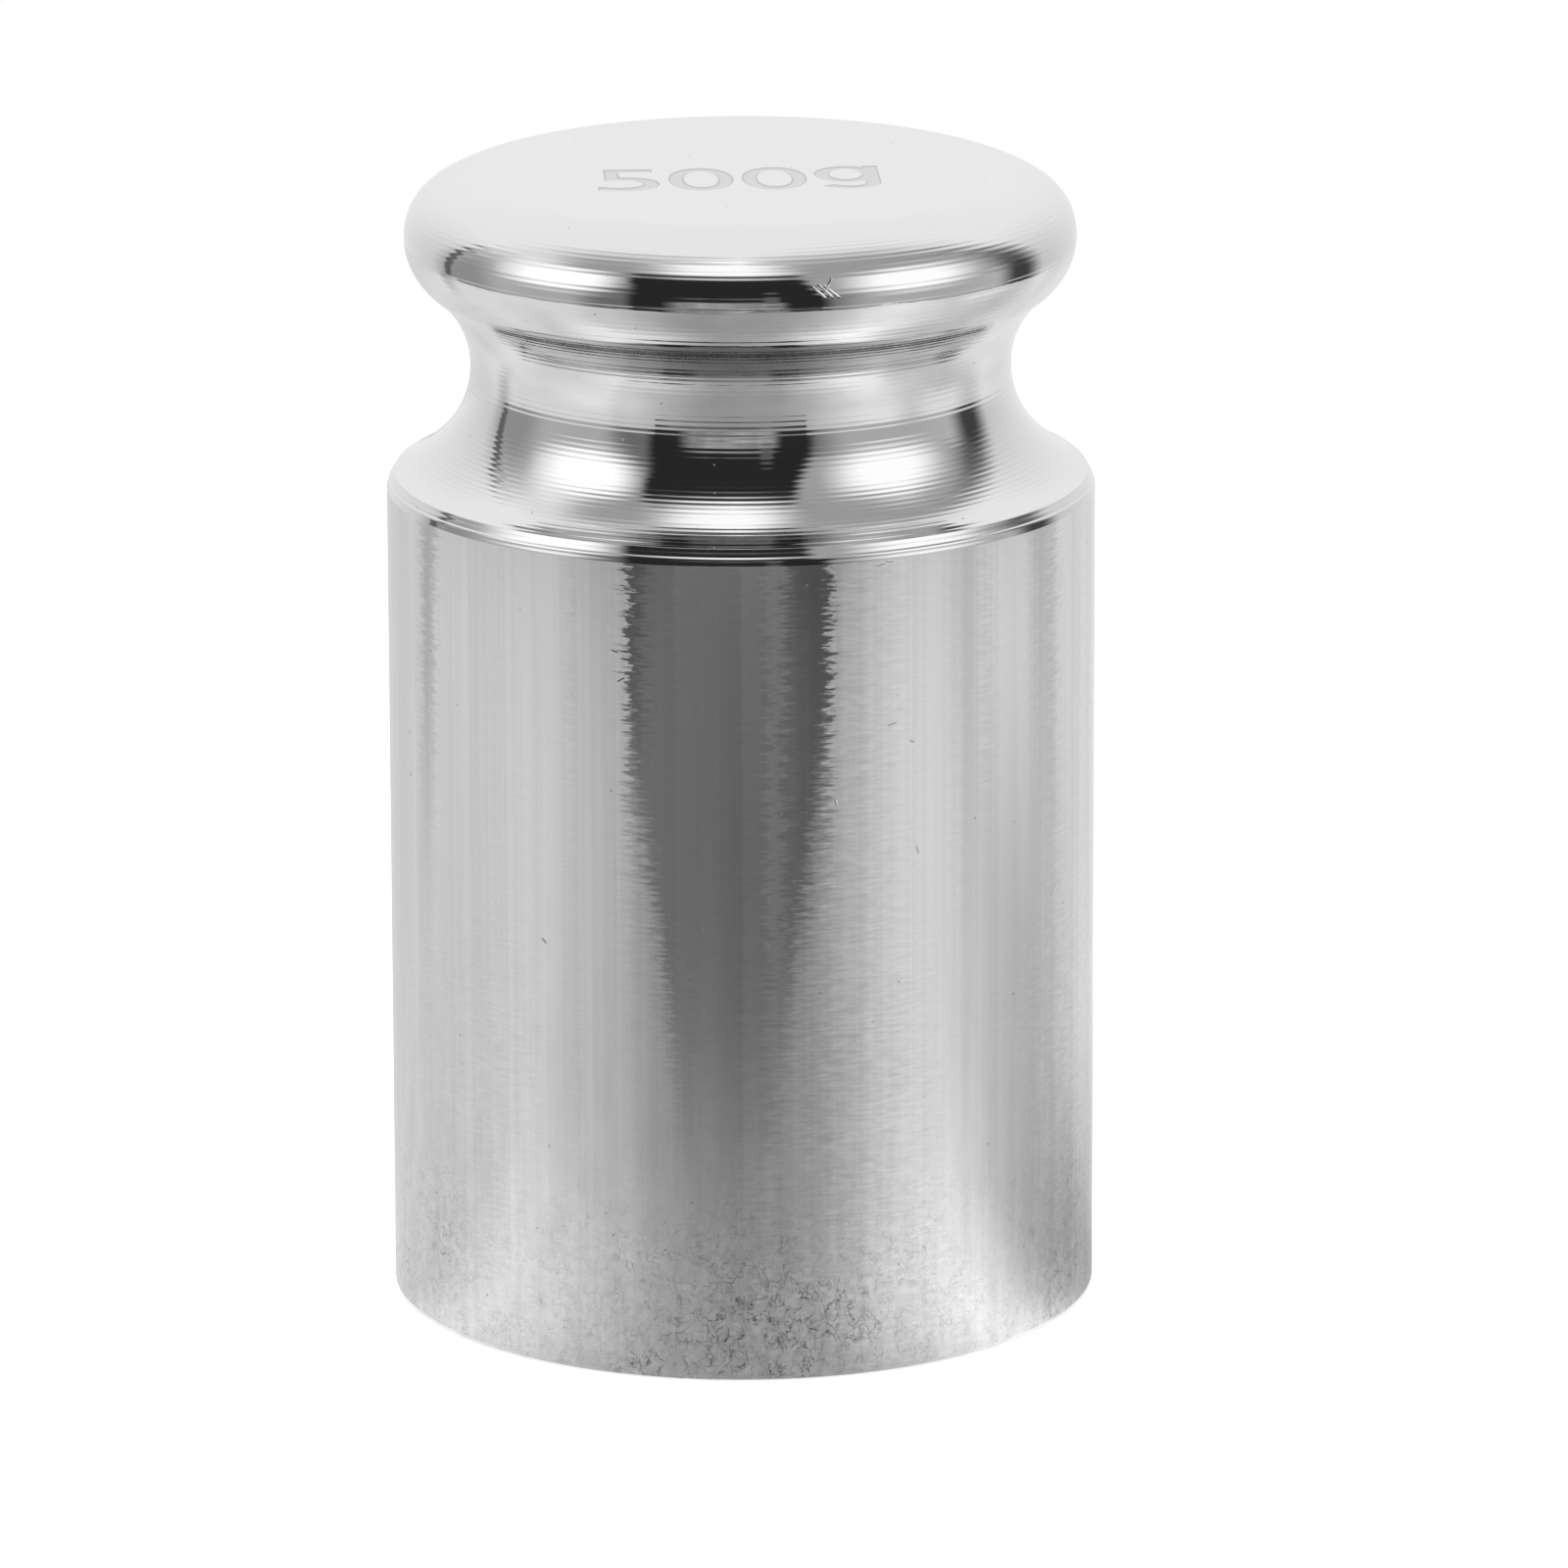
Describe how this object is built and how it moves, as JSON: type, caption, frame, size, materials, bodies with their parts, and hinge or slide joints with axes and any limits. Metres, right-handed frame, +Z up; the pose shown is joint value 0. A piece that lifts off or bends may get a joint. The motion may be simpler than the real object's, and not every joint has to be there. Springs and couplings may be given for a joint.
{
  "type": "calibration weight",
  "caption": "Turned metal calibration weight: straight round body, bevelled shoulder edge, waisted neck and rounded knob with a flat top.",
  "frame": {"origin": "centre of the flat base, on the surface that the weight stands on", "axes": "+Z up along the axis of turning; -Y towards the side that the mark on the top is read from"},
  "size_m": [0.037, 0.037, 0.06],
  "materials": {
    "polished_metal": "polished, with fine turning marks"
  },
  "bodies": {
    "root": {"weight": "polished_metal"}
  },
  "joints": []
}
